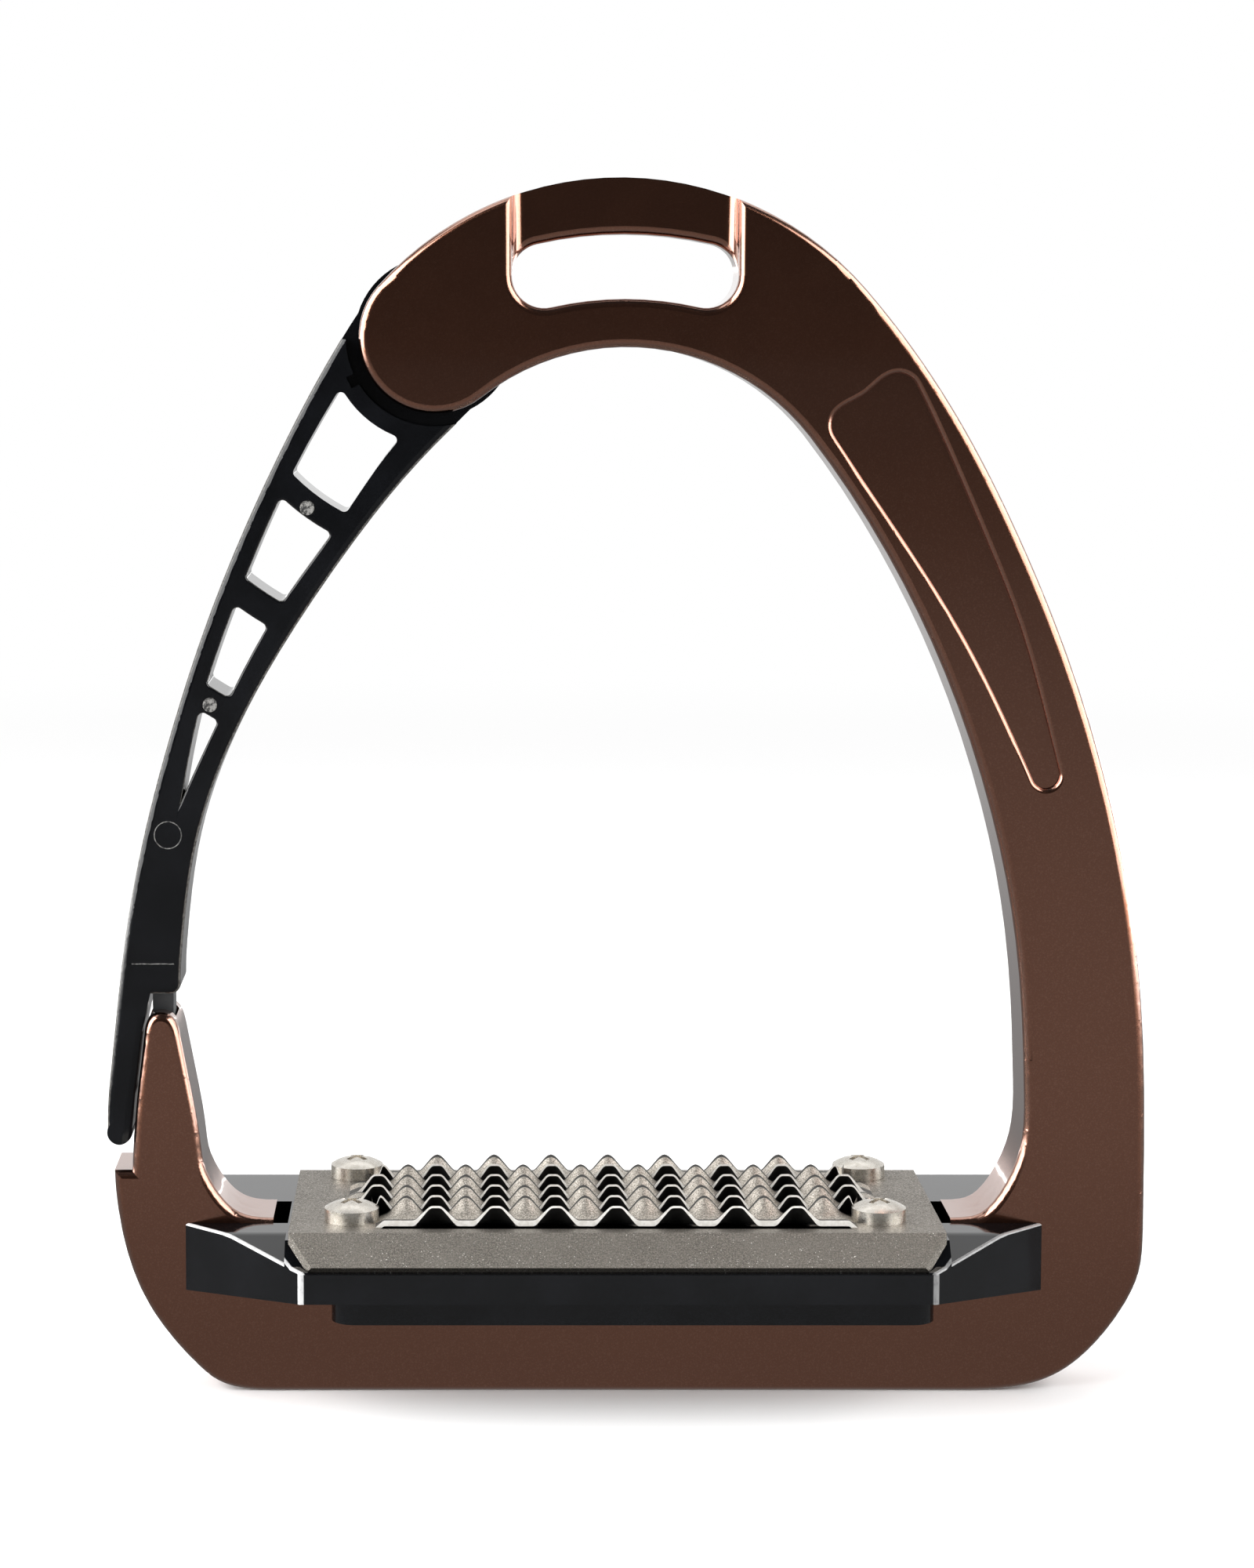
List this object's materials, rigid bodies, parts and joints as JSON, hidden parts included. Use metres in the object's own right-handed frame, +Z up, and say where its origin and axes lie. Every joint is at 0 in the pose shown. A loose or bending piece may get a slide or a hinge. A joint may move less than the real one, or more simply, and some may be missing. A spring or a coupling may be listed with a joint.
{
  "type": "stirrup iron",
  "caption": "Safety stirrup iron: an asymmetric metal arch with a leather slot, a toothed steel tread on a plastic saddle, and an outer arm that swings out to free the foot.",
  "frame": {"origin": "middle of the flat base, on the surface the iron stands on, halfway through the frame's thickness", "axes": "+Z up towards the leather slot, +X to the right branch with the release arm on -X, +Y to the back"},
  "size_m": [0.1542, 0.0488, 0.1802],
  "materials": {
    "brown_aluminium": "metallic brown lacquer on cast aluminium, satin-gloss",
    "black_nylon": "moulded, glossy",
    "blasted_steel": "bead-blasted stainless sheet",
    "bright_steel": "bright nickel plate",
    "spring_steel": "drawn wire",
    "bronze": "turned",
    "grey_rubber": "matt, moulded"
  },
  "bodies": {
    "iron": {"frame": "brown_aluminium", "pivot_screw": "bright_steel", "pivot_washer_front": "bright_steel", "pivot_washer_rear": "bright_steel", "return_spring": "spring_steel", "tread_body": "black_nylon", "grip_plate": "blasted_steel", "front_nut_bar": "black_nylon", "rear_nut_bar": "black_nylon", "plate_screw_front_left": "bright_steel", "plate_screw_front_right": "bright_steel", "plate_screw_rear_left": "bright_steel", "plate_screw_rear_right": "bright_steel", "plate_nut_front_left": "bright_steel", "plate_nut_front_right": "bright_steel", "plate_nut_rear_left": "bright_steel", "plate_nut_rear_right": "bright_steel", "base_bolt_left": "bright_steel", "base_bolt_right": "bright_steel", "base_insert_left": "bronze", "base_insert_right": "bronze"},
    "arm": {"release_arm": "black_nylon", "closing_buffer": "grey_rubber", "pivot_bush": "bronze"}
  },
  "joints": [
    {"name": "arm_hinge", "type": "hinge", "parent": "iron", "child": "arm", "pos_m": [-0.0284, 0, 0.1569], "axis": [0, 1, 0], "range_deg": [0, 70], "stiffness_Nm_per_rad": 0.12, "springref_deg": -34.38, "deforming": ["return_spring"]}
  ]
}
